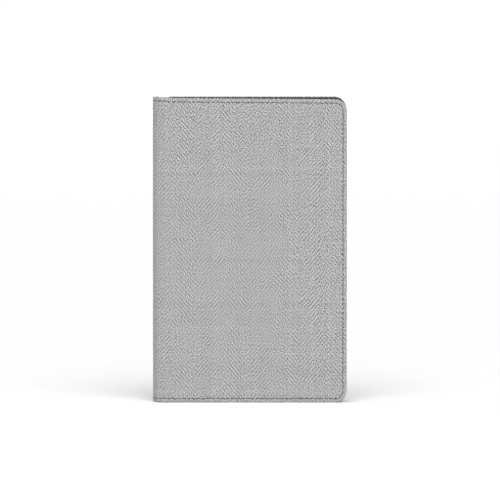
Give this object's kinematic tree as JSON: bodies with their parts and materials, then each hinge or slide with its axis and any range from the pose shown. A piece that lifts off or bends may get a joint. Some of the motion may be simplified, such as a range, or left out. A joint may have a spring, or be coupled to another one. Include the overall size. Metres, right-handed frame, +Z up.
{
  "type": "tablet keyboard case",
  "caption": "Closed folio keyboard case for a small tablet: cloth covers, rounded spine, tablet tray, built-in keyboard and a hinged stand flap in the back cover.",
  "frame": {"origin": "centre of the closed case's footprint, on the surface that it stands on", "axes": "+Z up along the spine, +Y from the front cover to the back cover, +X from the spine to the free edge"},
  "size_m": [0.141, 0.024, 0.222],
  "materials": {
    "cover_cloth": "woven herringbone polyester, light grey",
    "board": "dense fibre board",
    "lining": "black brushed microfibre",
    "tray_plastic": "fine-textured polycarbonate",
    "pad": "felt pad",
    "adhesive": "acrylic foam tape",
    "magnet": "nickel plated",
    "steel": "brushed",
    "hinge_steel": "black oxide",
    "deck_plastic": "fine-textured ABS",
    "key_plastic": "smooth matte ABS",
    "base_metal": "black coated aluminium",
    "film": "clear polyester film",
    "dome_rubber": "moulded silicone",
    "circuit": "solder mask",
    "chip": "moulded epoxy",
    "cell": "foil pouch",
    "knob": "moulded",
    "light_pipe": "clear acrylic"
  },
  "bodies": {
    "back": {"back_cloth": "cover_cloth", "back_board": "board", "back_lining": "lining", "tray": "tray_plastic", "tray_pad": "pad", "tray_adhesive": "adhesive", "tray_magnets": "magnet", "stand_keepers": "steel", "hinge_leaf_fixed": "hinge_steel", "hinge_pin": "steel", "hinge_rivets_fixed": "steel"},
    "spine": {"spine_cloth": "cover_cloth", "spine_board": "board", "spine_lining": "lining"},
    "front_cover": {"front_cloth": "cover_cloth", "front_board": "board", "front_lining": "lining", "keyboard_adhesive": "adhesive", "keyboard_base": "base_metal", "keyboard_deck": "deck_plastic", "keyboard_screws": "steel", "key_plate": "steel", "membrane": "film", "membrane_tail": "film", "dome_sheet": "dome_rubber", "main_board": "circuit", "board_chips": "chip", "battery": "cell", "charging_port": "steel", "power_switch_body": "chip", "pair_switch": "steel", "light_pipes": "light_pipe", "keyboard_magnets": "magnet"},
    "stand": {"stand_cloth": "cover_cloth", "stand_board": "board", "stand_lining": "lining", "stand_magnets": "magnet", "hinge_leaf_moving": "hinge_steel", "hinge_rivets_moving": "steel"},
    "power_knob": {"power_switch_knob": "knob"},
    "pair_button": {"pair_button": "knob"},
    "keys_function": {"keys_function": "key_plastic"},
    "keys_number": {"keys_number": "key_plastic"},
    "key_backspace": {"key_backspace": "key_plastic"},
    "keys_upper": {"keys_upper": "key_plastic"},
    "keys_home": {"keys_home": "key_plastic"},
    "key_enter": {"key_enter": "key_plastic"},
    "keys_lower": {"keys_lower": "key_plastic"},
    "key_shift": {"key_shift": "key_plastic"},
    "keys_bottom": {"keys_bottom": "key_plastic"},
    "key_space": {"key_space": "key_plastic"}
  },
  "joints": [
    {"name": "spine_hinge", "type": "hinge", "parent": "back", "child": "spine", "pos_m": [-0.06513, 0.01041, 0.111], "axis": [0, 0, -1], "range_deg": [0, 90]},
    {"name": "front_hinge", "type": "hinge", "parent": "spine", "child": "front_cover", "pos_m": [-0.06513, -0.01041, 0.111], "axis": [0, 0, -1], "range_deg": [0, 135]},
    {"name": "stand_hinge", "type": "hinge", "parent": "back", "child": "stand", "pos_m": [0.0105, 0.0106, 0.111], "axis": [0, 0, -1], "range_deg": [0, 120]},
    {"name": "power_slide", "type": "slide", "parent": "front_cover", "child": "power_knob", "axis": [1, 0, 0], "range_m": [0, 0.0025]},
    {"name": "pair_press", "type": "slide", "parent": "front_cover", "child": "pair_button", "axis": [0, -1, 0], "range_m": [0, 0.0005], "stiffness_N_per_m": 800, "springref_m": -0.0004},
    {"name": "keys_function_press", "type": "slide", "parent": "front_cover", "child": "keys_function", "axis": [0, -1, 0], "range_m": [0, 0.0012], "stiffness_N_per_m": 400, "springref_m": -0.0005},
    {"name": "keys_number_press", "type": "slide", "parent": "front_cover", "child": "keys_number", "axis": [0, -1, 0], "range_m": [0, 0.0012], "stiffness_N_per_m": 400, "springref_m": -0.0005},
    {"name": "key_backspace_press", "type": "slide", "parent": "front_cover", "child": "key_backspace", "axis": [0, -1, 0], "range_m": [0, 0.0012], "stiffness_N_per_m": 400, "springref_m": -0.0005},
    {"name": "keys_upper_press", "type": "slide", "parent": "front_cover", "child": "keys_upper", "axis": [0, -1, 0], "range_m": [0, 0.0012], "stiffness_N_per_m": 400, "springref_m": -0.0005},
    {"name": "keys_home_press", "type": "slide", "parent": "front_cover", "child": "keys_home", "axis": [0, -1, 0], "range_m": [0, 0.0012], "stiffness_N_per_m": 400, "springref_m": -0.0005},
    {"name": "key_enter_press", "type": "slide", "parent": "front_cover", "child": "key_enter", "axis": [0, -1, 0], "range_m": [0, 0.0012], "stiffness_N_per_m": 400, "springref_m": -0.0005},
    {"name": "keys_lower_press", "type": "slide", "parent": "front_cover", "child": "keys_lower", "axis": [0, -1, 0], "range_m": [0, 0.0012], "stiffness_N_per_m": 400, "springref_m": -0.0005},
    {"name": "key_shift_press", "type": "slide", "parent": "front_cover", "child": "key_shift", "axis": [0, -1, 0], "range_m": [0, 0.0012], "stiffness_N_per_m": 400, "springref_m": -0.0005},
    {"name": "keys_bottom_press", "type": "slide", "parent": "front_cover", "child": "keys_bottom", "axis": [0, -1, 0], "range_m": [0, 0.0012], "stiffness_N_per_m": 400, "springref_m": -0.0005},
    {"name": "key_space_press", "type": "slide", "parent": "front_cover", "child": "key_space", "axis": [0, -1, 0], "range_m": [0, 0.0012], "stiffness_N_per_m": 400, "springref_m": -0.0005}
  ]
}
